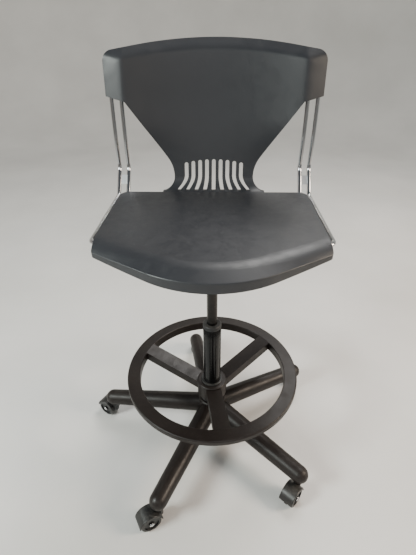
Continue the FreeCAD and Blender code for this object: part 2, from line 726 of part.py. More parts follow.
def cone_of(radius_gap):
    """The cylinder's tapered top and the straight length below it."""
    low = housing_bottom() - SOCKET_LENGTH
    cone = Part.makeCone(PISTON / 2 + radius_gap, PISTON / 2 - PISTON_TAPER + radius_gap,
                         SOCKET_LENGTH, Vector(0, 0, low))
    return cone


def taper_socket():
    low = housing_bottom() - SOCKET_LENGTH
    body = cylinder(SOCKET_R, low, housing_bottom())
    foot = edges_where(body, lambda e: e.BoundBox.ZMax < low + 0.01)
    return body.makeFillet(2.0, foot).cut(cone_of(FIT))


def shell_screws():
    screws = []
    head_r, head_h = SCREW_HEAD[0] / 2, SCREW_HEAD[1]
    for x, y in boss_places():
        head = cylinder(head_r, housing_top() - head_h, housing_top(), x, y)
        drive = cylinder(SCREW / 3, housing_top() - head_h - 1, housing_top() - head_h / 2, x, y)
        shank = cylinder(SCREW / 2, housing_top(), SEAT_TOP - SEAT_WALL, x, y)
        screws.append(head.cut(drive).fuse(shank).removeSplitter())
    return group(screws)


def release_lever():
    z = lever_z()
    rod = bar(LEVER / 2, Vector(-LEVER_TAIL, 0, z), Vector(LEVER_REACH, 0, z))
    boss_r, boss_w = LEVER_BOSS[0] / 2, LEVER_BOSS[1] / 2
    boss = bar(boss_r, Vector(LEVER_PIVOT_X, -boss_w, z), Vector(LEVER_PIVOT_X, boss_w, z))
    bore = bar(PIN / 2 + RUNNING, Vector(LEVER_PIVOT_X, -boss_w - 1, z),
               Vector(LEVER_PIVOT_X, boss_w + 1, z))
    return fused([rod, boss]).cut(bore)


def lever_grip():
    z = lever_z()
    radius, length = GRIP[0] / 2, GRIP[1]
    outer = bar(radius, Vector(LEVER_REACH - length + 5, 0, z), Vector(LEVER_REACH + 5, 0, z))
    outer = outer.makeFillet(3.0, edges_where(outer, lambda e: e.BoundBox.XLength < 1))
    return outer.cut(bar(LEVER / 2 + FIT, Vector(0, 0, z), Vector(LEVER_REACH, 0, z)))


def lever_pivot_pin():
    half_y = HOUSING[1] / 2 + 1
    z = lever_z()
    return bar(PIN / 2, Vector(LEVER_PIVOT_X, -half_y, z), Vector(LEVER_PIVOT_X, half_y, z))


def lever_return_spring():
    """A coil round the pivot pin, beside the lever's boss."""
    radius = PIN / 2 + SPRING_WIRE
    pitch = SPRING_WIRE * 1.6
    coil = Part.Wire(Part.makeHelix(pitch, pitch * SPRING_TURNS, radius))
    profile = Part.Wire(Part.makeCircle(SPRING_WIRE / 2, Vector(radius, 0, 0), Vector(0, 1, 0)))
    spring = coil.makePipeShell([profile], True, True)
    spring.rotate(Vector(0, 0, 0), Vector(1, 0, 0), -90)
    return moved(spring, Vector(LEVER_PIVOT_X, LEVER_BOSS[1] / 2 + 2, lever_z()))


def release_button():
    top = housing_bottom() + BUTTON_LENGTH / 2
    button = cylinder(BUTTON / 2, top - BUTTON_LENGTH, top)
    crown = edges_where(button, lambda e: e.BoundBox.ZMin > top - 0.01)
    return button.makeFillet(1.5, crown)


# ---------------------------------------------------------------- gas lift
def pressure_cylinder():
    low = housing_bottom() - SOCKET_LENGTH
    body = fused([cylinder(PISTON / 2, PISTON_BOTTOM, low), cone_of(0.0)])
    body = body.cut(cylinder(PISTON / 2 - PISTON_WALL, PISTON_BOTTOM - 1,
                             housing_bottom() - PISTON_CROWN))
    return body.cut(cylinder(BUTTON / 2 + RUNNING, PISTON_BOTTOM, housing_bottom() + 1))


def cylinder_end_guide():
    return tube(PISTON / 2 - PISTON_WALL - FIT, SHAFT / 2 + RUNNING, PISTON_BOTTOM,
                PISTON_BOTTOM + END_GUIDE)


def piston_rod():
    rod = cylinder(SHAFT / 2, SHAFT_BOTTOM - 2, HEAD_Z + HEAD_LENGTH)
    groove = tube(SHAFT / 2 + 1, SHAFT / 2 - 1, SHAFT_BOTTOM, SHAFT_BOTTOM + CLIP[1])
    return rod.cut(groove)


def piston_head():
    return tube(PISTON / 2 - PISTON_WALL - RUNNING, SHAFT / 2 + FIT, HEAD_Z, HEAD_Z + HEAD_LENGTH)


def rod_clip():
    clip = tube(CLIP[0] / 2, SHAFT / 2 - 1 + FIT, SHAFT_BOTTOM + 0.05, SHAFT_BOTTOM + CLIP[1] - 0.05)
    return clip.cut(box(0, CLIP[0], -SHAFT / 4, SHAFT / 4, SHAFT_BOTTOM - 1, SHAFT_BOTTOM + 10))


def floor_plate():
    z, thick = FLOOR_PLATE
    return tube(COLUMN / 2 - COLUMN_WALL - FIT, SHAFT / 2 + RUNNING, z, z + thick)


def race(level):
    """Washers of the thrust bearing, counted upwards from the tube's floor plate."""
    low = sum(FLOOR_PLATE) + level * RACE_THICK + (0.1 if level else 0.0)
    bore = SHAFT / 2 + (FIT if level else RUNNING)
    return tube(RACE / 2, bore, low, low + RACE_THICK)


def rubber_bumper():
    low = sum(FLOOR_PLATE) + 2 * RACE_THICK + 0.1
    bumper = tube(RACE / 2 - 3, SHAFT / 2 + FIT, low, low + BUMPER_HEIGHT)
    return bumper


def column_tube():
    shell_tube = tube(COLUMN / 2, COLUMN / 2 - COLUMN_WALL, COLUMN_BOTTOM, COLUMN_TOP)
    return shell_tube


def guide_bush():
    low = COLUMN_TOP - BUSH_LENGTH
    body = cylinder(COLUMN / 2 - COLUMN_WALL - FIT, low, COLUMN_TOP)
    lip = cylinder(COLUMN / 2, COLUMN_TOP, COLUMN_TOP + BUSH_LIP)
    rim = edges_where(lip, lambda e: e.BoundBox.ZMin > COLUMN_TOP + BUSH_LIP - 0.01)
    lip = lip.makeFillet(3.0, rim)
    return fused([body, lip]).cut(cylinder(PISTON / 2 + RUNNING, low - 1, COLUMN_TOP + 50))


# ---------------------------------------------------------------- foot ring
def spoke_top(r):
    inner = RING_OUTER - RING_BAND
    return SPOKE_HUB_Z + (RING_TOP - SPOKE_HUB_Z) * r / inner


def spoke():
    """A spoke along +X: flat on top, two deep walls below."""
    inner = RING_OUTER - RING_BAND
    outer_points = [(0, spoke_top(0)), (inner + 1, spoke_top(inner)),
                    (inner + 1, RING_TOP - RING_DEPTH), (0, HUB_BOTTOM + 2)]
    wall = RING_WALL
    start = HUB_R - 2
    inner_points = [(start, spoke_top(start) - wall), (inner - wall / 2, spoke_top(inner) - wall),
                    (inner - wall / 2, HUB_BOTTOM - 20), (start, HUB_BOTTOM - 20)]
    solids = []
    for points, width in ((outer_points, SPOKE_WIDTH), (inner_points, SPOKE_WIDTH - 2 * wall)):
        corners = [Vector(r, -width / 2, z) for r, z in points]
        solids.append(prism(corners, [0] * 4, Vector(0, width, 0)))
    return solids[0].cut(solids[1])


def foot_ring():
    inner = RING_OUTER - RING_BAND
    wall = RING_WALL
    profile = [(RING_OUTER, RING_TOP), (RING_OUTER, RING_TOP - RING_LIP),
               (RING_OUTER - wall, RING_TOP - RING_LIP), (RING_OUTER - wall, RING_TOP - wall),
               (inner + wall, RING_TOP - wall), (inner + wall, RING_TOP - RING_DEPTH),
               (inner, RING_TOP - RING_DEPTH), (inner, RING_TOP)]
    corners = [Vector(r, 0, z) for r, z in profile]
    wire = rounded_path(corners, [RING_ROUND, 0, 0, 0, 0, 0, 0, RING_ROUND / 2], closed=True)
    ring = Part.Face(wire).revolve(Vector(0, 0, 0), Z_AXIS, 360)
    spokes = [turned(spoke(), SPOKE_FIRST + i * 360 / SPOKE_COUNT) for i in range(SPOKE_COUNT)]
    hub = cylinder(HUB_R, HUB_BOTTOM, HUB_TOP)
    hub = hub.makeFillet(4.0, edges_where(hub, lambda e: e.BoundBox.ZMin > HUB_TOP - 0.01))
    whole = fused([ring, hub] + spokes)
    return whole.cut(cylinder(COLUMN / 2 + COLLET_WALL + FIT, HUB_BOTTOM - 5, RING_TOP + 20))


def ring_collet():
    body = cylinder(COLUMN / 2 + COLLET_WALL, HUB_BOTTOM - NUT[1], HUB_TOP + 4)
    body = body.makeFillet(1.5, edges_where(body, lambda e: e.BoundBox.ZMin > HUB_TOP))
    return body.cut(cylinder(COLUMN / 2 + RUNNING, 0, HUB_TOP + 20))


def collet_nut():
    radius, height = NUT[0] / 2, NUT[1]
    nut = tube(radius, COLUMN / 2 + COLLET_WALL + FIT, HUB_BOTTOM - height, HUB_BOTTOM)
    flutes = [cylinder(3.0, HUB_BOTTOM - height - 1, HUB_BOTTOM - 2, *list(polar(radius + 1.5, a))[:2])
              for a in range(0, 360, 30)]
    return nut.cut(group(flutes))


# ---------------------------------------------------------------- base
def round_bar(root_r, end_r, length, ball):
    """A tapered round bar along +X, turned as one piece, with or without a ball end."""
    start, end = Vector(0, 0, root_r), Vector(length, 0, end_r)
    edges = [Part.makeLine(Vector(0, 0, 0), start), Part.makeLine(start, end)]
    tip = Vector(length + (end_r if ball else 0), 0, 0)
    if ball:
        middle = Vector(length + end_r * math.cos(rad(45)), 0, end_r * math.sin(rad(45)))
        edges.append(Part.Arc(end, middle, tip).toShape())
    else:
        edges.append(Part.makeLine(end, tip))
    edges.append(Part.makeLine(tip, Vector(0, 0, 0)))
    return Part.Face(Part.Wire(edges)).revolve(Vector(0, 0, 0), Vector(1, 0, 0), 360)


def arm():
    """An arm along +X: a tapered round bar with a ball tip, hollow and open underneath."""
    root_x = BASE_HUB_R / 2
    drop = ARM_ROOT_Z - ARM_TIP_Z
    length = math.hypot(ARM_REACH - root_x, drop)
    share = 1 - TIP_SOLID / length
    end_r = ARM_ROOT_R + (ARM_TIP_R - ARM_ROOT_R) * share - ARM_WALL
    bar_shape = round_bar(ARM_ROOT_R, ARM_TIP_R, length, True)
    bar_shape = bar_shape.cut(round_bar(ARM_ROOT_R - ARM_WALL, end_r, length * share, False))
    tilt = math.degrees(math.atan2(drop, ARM_REACH - root_x))
    bar_shape.rotate(Vector(0, 0, 0), Vector(0, 1, 0), tilt)
    bar_shape.translate(Vector(root_x, 0, ARM_ROOT_Z))
    far = ARM_REACH - TIP_SOLID
    near_half, far_half = ARM_MOUTH[0] / 2, ARM_MOUTH[1] / 2
    corners = [Vector(root_x, -near_half, 0), Vector(far, -far_half, 0), Vector(far, far_half, 0),
               Vector(root_x, near_half, 0)]
    mouth = prism(corners, [0, 6, 6, 0], Vector(0, 0, ARM_TIP_Z))
    boss = cylinder(TIP_BOSS_R, ARM_TIP_Z - ARM_TIP_R, ARM_TIP_Z, ARM_REACH)
    return bar_shape.cut(mouth).fuse(boss)


def arm_angles():
    return [ARM_FIRST + i * 360 / ARM_COUNT for i in range(ARM_COUNT)]


def stem_places():
    return [polar(ARM_REACH, angle) for angle in arm_angles()]


def five_arm_base():
    hub = cylinder(BASE_HUB_R, BASE_HUB_BOTTOM, BASE_HUB_TOP)
    top = edges_where(hub, lambda e: e.BoundBox.ZMin > BASE_HUB_TOP - 0.01)
    hub = hub.makeFillet(BASE_HUB_ROUND, top)
    bore = cylinder(COLUMN / 2 + SLEEVE_WALL + FIT, 0, BASE_HUB_TOP + 20)
    one = arm().cut(bore)
    whole = fused([hub.cut(bore)] + [turned(one, angle) for angle in arm_angles()])
    radius = STEM / 2 + SOCKET_WALL + FIT
    holes = [cylinder(radius, 0, STEM_TOP + 1, p.x, p.y) for p in stem_places()]
    return whole.cut(group(holes))


def taper_sleeve():
    return tube(COLUMN / 2 + SLEEVE_WALL, COLUMN / 2 + FIT, BASE_HUB_BOTTOM + 2, BASE_HUB_TOP + 3)


def caster_sockets():
    low = ARM_TIP_Z - ARM_TIP_R
    one = tube(STEM / 2 + SOCKET_WALL, STEM / 2 + RUNNING, low, STEM_TOP + 1)
    return group([moved(one, p) for p in stem_places()])


# ---------------------------------------------------------------- casters
def hub_centre():
    return Vector(TRAIL, 0, WHEEL / 2)


def across(radius, y0, y1):
    """A cylinder along Y about the axle."""
    centre = hub_centre()
    return bar(radius, centre + Vector(0, y0, 0), centre + Vector(0, y1, 0))


def caster_top():
    return ARM_TIP_Z - ARM_TIP_R - TIP_GAP


def caster_stem():
    stem = cylinder(STEM / 2, caster_top() - STEM_IN_HOOD, STEM_TOP)
    return stem.makeFillet(1.2, edges_where(stem, lambda e: e.BoundBox.ZMin > STEM_TOP - 0.01))


def caster_hood():
    """The hood over both wheels, the web between them and the neck round the stem."""
    inner = WHEEL / 2 + HOOD_GAP
    outer = inner + HOOD_WALL
    side = WHEEL_GAP + WHEEL_WIDTH + 1
    cover = across(outer, -side, side)
    cover = cover.makeFillet(2.0, cover.Edges[:1] + cover.Edges[2:])
    neck = cylinder(CASTER_NECK_R, WHEEL / 2 + HOOD_FLOOR, caster_top())
    cover = cover.fuse(neck).cut(across(inner, -side - 5, side + 5))
    cover = cover.cut(box(-80, 80, -50, 50, -60, WHEEL / 2 + HOOD_FLOOR))
    web = across(inner + 1, -CASTER_WEB / 2, CASTER_WEB / 2)
    web = web.cut(box(-80, 80, -50, 50, -60, WHEEL / 2 - AXLE))
    whole = fused([cover, web])
    whole = whole.cut(cylinder(STEM / 2 + FIT, caster_top() - STEM_IN_HOOD, caster_top() + 1))
    return whole.cut(across(AXLE / 2 + FIT, -50, 50))


def caster_axle():
    end = WHEEL_GAP + WHEEL_WIDTH + AXLE_OVER
    axle = across(AXLE / 2, -end, end)
    return axle.makeFillet(1.0, edges_where(axle, lambda e: e.BoundBox.YLength < 0.1))


def wheel(side):
    near, far = WHEEL_GAP, WHEEL_GAP + WHEEL_WIDTH
    disc = across(WHEEL / 2, near, far)
    disc = disc.makeFillet(WHEEL_ROUND, edges_where(disc, lambda e: e.BoundBox.YLength < 0.1))
    dish_r, dish_d = WHEEL_RECESS[0] / 2, WHEEL_RECESS[1]
    dish = across(dish_r, far - dish_d, far + 1).cut(across(WHEEL_HUB / 2, far - dish_d - 1, far + 2))
    disc = disc.cut(dish).cut(across(AXLE / 2 + RUNNING, near - 1, far + 1))
    return disc if side > 0 else disc.mirror(Vector(0, 0, 0), Vector(0, 1, 0))


def placed(shape, index):
    """A caster's piece at its own arm, turned to its own heading."""
    return moved(turned(shape, CASTER_HEADINGS[index]), stem_places()[index])


def save_casters():
    pieces = {"stem": caster_stem(), "hood": caster_hood(), "axle": caster_axle(),
              "wheel_left": wheel(1), "wheel_right": wheel(-1)}
    for index in range(ARM_COUNT):
        for name, shape in pieces.items():
            save("caster_%d_%s" % (index + 1, name), placed(shape, index))


# ---------------------------------------------------------------- the whole chair
def main():
    os.makedirs("parts", exist_ok=True)
    save("seat_and_back_shell", shell())
    outer = frame_rod(OUTER_ROD_HALF, OUTER_CROSS_Y)
    inner = frame_rod(INNER_ROD_HALF, INNER_CROSS_Y)
    save("outer_frame_rod", outer)
    save("inner_frame_rod", inner)
    plate = bridge_plate([outer, inner])
    save("bridge_plate_right", plate)
    save("bridge_plate_left", mirrored(plate))
    save("rod_end_caps", rod_end_caps())
    save("rod_saddles", rod_saddles())
    save("rod_guides", rod_guides())
    save("mounting_plate", mounting_plate())
    save("lever_housing", lever_housing())
    save("taper_socket", taper_socket())
    save("shell_screws", shell_screws())
    save("release_lever", release_lever())
    save("lever_grip", lever_grip())
    save("lever_pivot_pin", lever_pivot_pin())
    save("lever_return_spring", lever_return_spring())
    save("release_button", release_button())
    save("pressure_cylinder", pressure_cylinder())
    save("cylinder_end_guide", cylinder_end_guide())
    save("piston_rod", piston_rod())
    save("piston_head", piston_head())
    save("rod_clip", rod_clip())
    save("lower_race", race(0))
    save("upper_race", race(1))
    save("rubber_bumper", rubber_bumper())
    save("column_tube", column_tube())
    save("column_floor_plate", floor_plate())
    save("guide_bush", guide_bush())
    save("foot_ring", foot_ring())
    save("ring_collet", ring_collet())
    save("collet_nut", collet_nut())
    save("five_arm_base", five_arm_base())
    save("taper_sleeve", taper_sleeve())
    save("caster_sockets", caster_sockets())
    save_casters()


main()
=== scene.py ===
"""Looks of the drafting chair: materials, trim, floor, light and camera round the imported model."""
import json
import math

import bpy
from mathutils import Matrix, Vector


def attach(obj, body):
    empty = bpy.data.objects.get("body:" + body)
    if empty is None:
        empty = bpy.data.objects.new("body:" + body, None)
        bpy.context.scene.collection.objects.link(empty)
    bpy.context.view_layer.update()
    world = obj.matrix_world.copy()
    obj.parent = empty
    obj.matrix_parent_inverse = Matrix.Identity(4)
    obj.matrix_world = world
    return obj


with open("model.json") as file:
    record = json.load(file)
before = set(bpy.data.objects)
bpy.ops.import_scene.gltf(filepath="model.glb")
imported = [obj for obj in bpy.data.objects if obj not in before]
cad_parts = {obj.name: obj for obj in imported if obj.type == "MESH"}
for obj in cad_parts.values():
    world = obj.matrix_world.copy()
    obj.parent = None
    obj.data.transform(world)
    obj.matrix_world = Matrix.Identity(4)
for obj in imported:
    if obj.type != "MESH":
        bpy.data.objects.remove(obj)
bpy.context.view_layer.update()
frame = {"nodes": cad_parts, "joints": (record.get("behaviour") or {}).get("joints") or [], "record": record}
NODES = frame["nodes"]
CASTERS = (1, 2, 3, 4, 5)
SIDES = ("left", "right")
BRIGHT_NODES = ("bridge_plate_left", "bridge_plate_right")

# ---------------------------------------------------------------- colours, linear
CHARCOAL = (0.0155, 0.0172, 0.0215, 1)
CHARCOAL_WORN = (0.024, 0.0255, 0.030, 1)
BROWN_BLACK = (0.0085, 0.0056, 0.0048, 1)
BROWN_WORN = (0.020, 0.0135, 0.0112, 1)
JET = (0.0035, 0.0035, 0.0038, 1)
SOOT = (0.0065, 0.0065, 0.0070, 1)
TREAD = (0.060, 0.060, 0.058, 1)
CHROME = (0.80, 0.805, 0.82, 1)
# painted reflection: the darker chrome colour painted where a bar faces the camera
CHROME_PAINTED_DARK_CORE = (0.30, 0.305, 0.32, 1)
DARK_STEEL = (0.035, 0.033, 0.032, 1)
ZINC = (0.52, 0.53, 0.54, 1)
ALLOY = (0.62, 0.62, 0.63, 1)
DUST = (0.33, 0.31, 0.28, 1)
FLOOR = (0.72, 0.71, 0.69, 1)
FLOOR_SHADE = (0.64, 0.63, 0.61, 1)

# ---------------------------------------------------------------- sizes, metres
TREAD_BAND = 0.0024         # width of the scuffed band at a wheel's edge
CAP_OVERLAP = 0.0016        # how far a hub cap reaches over its axle's end
CAP_PROFILE = ((0.0052, 0.0), (0.0062, 0.0004), (0.0062, 0.0010), (0.0056, 0.0017),
               (0.0042, 0.0022), (0.0024, 0.0025), (0.0006, 0.0026))
FLOOR_FLAT = 3.6            # radius of the flat floor
FLOOR_BEND = 1.6            # radius of its sweep up into the wall
FLOOR_WALL = 4.5            # height of the wall
FLOOR_BEND_STEPS = 12
FLOOR_SINK = 0.0002         # keeps the floor clear of the wheels

# ---------------------------------------------------------------- light: place, target, size, watts, colour
LIGHTS = {
    "key": ((-2.2, -1.3, 2.0), (0, 0, 0.7), 0.9, 100, (0.93, 1.0, 0.95)),
    "side": ((2.5, -0.4, 1.7), (0, 0, 0.7), 0.9, 75, (1.0, 0.84, 0.68)),
    "back": ((0.9, 1.6, 3.3), (0, 0, 0.7), 1.6, 85, (1.0, 0.98, 0.95)),
    "front": ((0.4, -2.8, 2.2), (0, 0, 0.5), 2.0, 12, (1.0, 1.0, 1.0)),
}
WORLD_COLOUR = (0.86, 0.90, 0.94, 1)
WORLD_STRENGTH = 0.28

# ---------------------------------------------------------------- camera: metres, radians, millimetres
CAMERA_PLACE = (0.0125, -0.8165, 1.0941)
CAMERA_PITCH = 0.569292     # looks down by this much
CAMERA_YAW = -0.0281847
CAMERA_ROLL = -0.0051106
CAMERA_LENS = 25.23
CAMERA_SENSOR = 36.0
CAMERA_CLIP = 0.01


# ---------------------------------------------------------------- node helpers
class Graph:
    """A short way to add and join shader nodes."""

    def __init__(self, tree):
        self.tree = tree

    def node(self, kind, **settings):
        made = self.tree.nodes.new(kind)
        for name, value in settings.items():
            setattr(made, name, value)
        return made

    def put(self, node, socket, value):
        """Sets a socket to a constant, or joins it to another node's output."""
        target = node.inputs[socket]
        if isinstance(value, bpy.types.NodeSocket):
            self.tree.links.new(value, target)
        else:
            target.default_value = value

    def math(self, operation, first, second=0.0, clamp=False):
        made = self.node("ShaderNodeMath", operation=operation, use_clamp=clamp)
        self.put(made, 0, first)
        self.put(made, 1, second)
        return made.outputs[0]

    def mix(self, factor, first, second):
        made = self.node("ShaderNodeMix", data_type="RGBA")
        self.put(made, 0, factor)
        self.put(made, 6, first)
        self.put(made, 7, second)
        return made.outputs[2]

    def noise(self, place, scale, detail=3.0, rough=0.5):
        made = self.node("ShaderNodeTexNoise")
        self.put(made, "Vector", place)
        self.put(made, "Scale", scale)
        self.put(made, "Detail", detail)
        self.put(made, "Roughness", rough)
        return made.outputs[0]

    def spread(self, value, low, high, out_low=0.0, out_high=1.0):
        made = self.node("ShaderNodeMapRange")
        for index, number in enumerate((value, low, high, out_low, out_high)):
            self.put(made, index, number)
        return made.outputs[0]

    def place(self, stretch=(1, 1, 1)):
        made = self.node("ShaderNodeTexCoord")
        mapping = self.node("ShaderNodeMapping")
        self.put(mapping, "Vector", made.outputs["Object"])
        self.put(mapping, "Scale", stretch)
        return mapping.outputs[0]

    def bump(self, height, distance, strength=1.0, normal=None):
        made = self.node("ShaderNodeBump")
        self.put(made, "Height", height)
        self.put(made, "Distance", distance)
        self.put(made, "Strength", strength)
        if normal is not None:
            self.put(made, "Normal", normal)
        return made.outputs[0]

    def group(self, tree, **values):
        made = self.node("ShaderNodeGroup", node_tree=tree)
        for name, value in values.items():
            self.put(made, name.replace("_", " "), value)
        return made


def new_group(name, inputs, outputs):
    tree = bpy.data.node_groups.new(name, "ShaderNodeTree")
    for label, kind, default in inputs:
        socket = tree.interface.new_socket(label, in_out="INPUT", socket_type=kind)
        socket.default_value = default
    for label, kind in outputs:
        tree.interface.new_socket(label, in_out="OUTPUT", socket_type=kind)
    graph = Graph(tree)
    return graph, graph.node("NodeGroupInput"), graph.node("NodeGroupOutput")


def grain_group():
    """Fine moulded grain: a normal, and the height it comes from."""
    graph, source, result = new_group(
        "moulded_grain",
        [("Scale", "NodeSocketFloat", 900.0), ("Depth", "NodeSocketFloat", 0.00005)],
        [("Normal", "NodeSocketVector"), ("Height", "NodeSocketFloat")])
    place = graph.place()
    coarse = graph.node("ShaderNodeTexVoronoi", feature="SMOOTH_F1")
    graph.put(coarse, "Vector", place)
    graph.put(coarse, "Scale", source.outputs["Scale"])
    fine = graph.noise(place, graph.math("MULTIPLY", source.outputs["Scale"], 1.7), 2.0)
    both = graph.math("ADD", graph.math("MULTIPLY", fine, 0.5), coarse.outputs[0])
    graph.put(result, "Height", both)
    graph.put(result, "Normal", graph.bump(both, source.outputs["Depth"]))
    return graph.tree


def wear_group():
    """Soft patches, small smudges and fine scratches, each from 0 to 1."""
    graph, _, result = new_group(
        "wear", [], [("Patches", "NodeSocketFloat"), ("Smudges", "NodeSocketFloat"),
                     ("Scratches", "NodeSocketFloat")])
    place = graph.place()
    graph.put(result, "Patches", graph.spread(graph.noise(place, 5.0, 4.0), 0.35, 0.68))
    graph.put(result, "Smudges", graph.spread(graph.noise(place, 38.0, 6.0, 0.62), 0.42, 0.70))
    streaks = []
    for stretch in ((240, 12, 40), (16, 210, 30), (40, 30, 260)):
        streaks.append(graph.noise(graph.place(stretch), 1.0, 3.0, 0.7))
    mean = graph.math("MAXIMUM", graph.math("MAXIMUM", streaks[0], streaks[1]), streaks[2])
    graph.put(result, "Scratches", graph.spread(mean, 0.68, 0.78))
    return graph.tree


def dust_group():
    """Where dust settles: faces that look up, broken by noise."""
    graph, source, result = new_group(
        "dust", [("Amount", "NodeSocketFloat", 0.3)], [("Mask", "NodeSocketFloat")])
    normal = graph.node("ShaderNodeNewGeometry")
    parts = graph.node("ShaderNodeSeparateXYZ")
    graph.put(parts, "Vector", normal.outputs["Normal"])
    up = graph.spread(parts.outputs["Z"], 0.45, 1.0)
    specks = graph.spread(graph.noise(graph.place(), 120.0, 8.0, 0.7), 0.45, 0.80)
    veil = graph.spread(graph.noise(graph.place(), 9.0, 4.0, 0.6), 0.35, 0.75)
    both = graph.math("ADD", graph.math("MULTIPLY", specks, 0.6), graph.math("MULTIPLY", veil, 0.4))
    mask = graph.math("MULTIPLY", graph.math("MULTIPLY", up, both), source.outputs["Amount"], True)
    graph.put(result, "Mask", mask)
    return graph.tree


GRAIN = grain_group()
WEAR = wear_group()
DUST_MASK = dust_group()


def new_material(name):
    material = bpy.data.materials.new(name)
    material.use_nodes = True
    tree = material.node_tree
    tree.nodes.clear()
    graph = Graph(tree)
    shader = graph.node("ShaderNodeBsdfPrincipled")
    output = graph.node("ShaderNodeOutputMaterial")
    tree.links.new(shader.outputs[0], output.inputs[0])
    return material, graph, shader


def moulded(name, base, worn, rough, grain, depth, dust=0.25, ior=1.5):
    """Grained plastic with patches, smudges, faint scratches and dust."""
    material, graph, shader = new_material(name)
    wear = graph.group(WEAR)
    texture = graph.group(GRAIN, Scale=grain, Depth=depth)
    settled = graph.group(DUST_MASK, Amount=dust)
    colour = graph.mix(graph.math("MULTIPLY", wear.outputs["Patches"], 0.2), base, worn)
    colour = graph.mix(graph.math("MULTIPLY", wear.outputs["Scratches"], 0.25), colour, worn)
    colour = graph.mix(settled.outputs["Mask"], colour, DUST)
    graph.put(shader, "Base Color", colour)
    shine = graph.spread(wear.outputs["Smudges"], 0.0, 1.0, rough, rough + 0.12)
    shine = graph.math("ADD", shine, graph.math("MULTIPLY", settled.outputs["Mask"], 0.4))
    graph.put(shader, "Roughness", shine)
    graph.put(shader, "Normal", texture.outputs["Normal"])
    graph.put(shader, "IOR", ior)
    return material


def metal(name, tint, rough, brushed=0.0, marks=0.06):
    """Bare or plated metal: smudges in its shine and, if brushed, fine lines."""
    material, graph, shader = new_material(name)
    wear = graph.group(WEAR)
    graph.put(shader, "Metallic", 1.0)
    darker = tuple(c * 0.8 for c in tint[:3]) + (1,)
    graph.put(shader, "Base Color", graph.mix(graph.math("MULTIPLY", wear.outputs["Patches"], 0.4),
                                              tint, darker))
    shine = graph.spread(wear.outputs["Smudges"], 0.0, 1.0, rough, rough + marks)
    graph.put(shader, "Roughness", shine)
    lines = graph.noise(graph.place((60, 60, 1800)), 1.0, 3.0, 0.6)
    small = graph.noise(graph.place(), 700.0, 2.0)
    height = graph.math("ADD", graph.math("MULTIPLY", lines, brushed), graph.math("MULTIPLY", small, 0.15))
    graph.put(shader, "Normal", graph.bump(height, 0.00002))
    return material


def chrome_with_painted_reflection():
    """Bright plating with a painted reflection: a painted dark core where a round bar faces the camera,
    painted bright along its edges.
    """
    material, graph, shader = new_material("chrome")
    wear = graph.group(WEAR)
    angle = graph.node("ShaderNodeLayerWeight")
    graph.put(angle, "Blend", 0.5)
    # painted reflection mask: the dark core colour where the surface faces the camera, the bright colour
    # towards its outline
    edge = graph.spread(angle.outputs["Facing"], 0.12, 0.62)
    graph.put(shader, "Metallic", 1.0)
    graph.put(shader, "Base Color", graph.mix(edge, CHROME_PAINTED_DARK_CORE, CHROME))
    graph.put(shader, "Roughness", graph.spread(wear.outputs["Smudges"], 0.0, 1.0, 0.07, 0.15))
    graph.put(shader, "Normal", graph.bump(graph.noise(graph.place(), 700.0, 2.0), 0.00001))
    return material


def gloss_paint(name, base, rough):
    """Smooth paint with orange peel, a clear coat, dust and hairline scratches."""
    material, graph, shader = new_material(name)
    wear = graph.group(WEAR)
    settled = graph.group(DUST_MASK, Amount=0.2)
    lighter = tuple(min(1.0, c * 5) for c in base[:3]) + (1,)
    colour = graph.mix(graph.math("MULTIPLY", wear.outputs["Scratches"], 0.3), base, lighter)
    graph.put(shader, "Base Color", graph.mix(settled.outputs["Mask"], colour, DUST))
    graph.put(shader, "Roughness", graph.spread(wear.outputs["Smudges"], 0.0, 1.0, rough, rough + 0.15))
    graph.put(shader, "IOR", 1.32)
    graph.put(shader, "Coat Weight", 0.12)
    graph.put(shader, "Coat Roughness", 0.06)
    peel = graph.noise(graph.place(), 260.0, 2.0)
    graph.put(shader, "Normal", graph.bump(peel, 0.00004))
    return material


def tread_material():
    """Grey, scuffed tread with fine grit."""
    material, graph, shader = new_material("tread")
    wear = graph.group(WEAR)
    grit = graph.noise(graph.place(), 1400.0, 4.0, 0.7)
    colour = graph.mix(graph.spread(grit, 0.3, 0.8), TREAD, DUST)
    colour = graph.mix(0.35, TREAD, colour)
    graph.put(shader, "Base Color", graph.mix(wear.outputs["Smudges"], TREAD, colour))
    graph.put(shader, "Roughness", graph.spread(wear.outputs["Smudges"], 0.0, 1.0, 0.45, 0.7))
    graph.put(shader, "Normal", graph.bump(grit, 0.00008))
    return material


MATERIALS = {
    "seat_plastic": moulded("seat_plastic", CHARCOAL, CHARCOAL_WORN, 0.40, 780.0, 0.00009, 0.018),
    "base_plastic": moulded("base_plastic", BROWN_BLACK, BROWN_WORN, 0.40, 1300.0, 0.00005, 0.04, 1.4),
    "black_plastic": moulded("black_plastic", SOOT, CHARCOAL, 0.42, 1500.0, 0.00005, 0.2),
    "caster_plastic": moulded("caster_plastic", SOOT, BROWN_WORN, 0.34, 1500.0, 0.00004, 0.3),
    "wheel_plastic": moulded("wheel_plastic", SOOT, CHARCOAL, 0.38, 1500.0, 0.00004, 0.15),
    "rubber": moulded("rubber", SOOT, CHARCOAL, 0.7, 2000.0, 0.00006, 0.3),
    "black_steel": moulded("black_steel", JET, SOOT, 0.4, 2600.0, 0.00005, 0.1, 1.4),
    "column_paint": gloss_paint("column_paint", JET, 0.16),
    "chrome": chrome_with_painted_reflection(),
    "bright_steel": metal("bright_steel", CHROME, 0.38),
    "ground_steel": metal("ground_steel", DARK_STEEL, 0.2, 0.5, 0.12),
    "zinc_steel": metal("zinc_steel", ZINC, 0.32, 0.4, 0.1),
    "guide_metal": metal("guide_metal", ALLOY, 0.3, 0.6, 0.1),
    "tread": tread_material(),
}


def dress_nodes():
    """Each CAD node takes the finish of its slot in the record."""
    for part in frame["record"]["subparts"]:
        node = NODES[part["node"]]
        node.data.materials.clear()
        finish = "bright_steel" if part["node"] in BRIGHT_NODES else part["material_slot"]
        node.data.materials.append(MATERIALS[finish])
        for polygon in node.data.polygons:
            polygon.material_index = 0


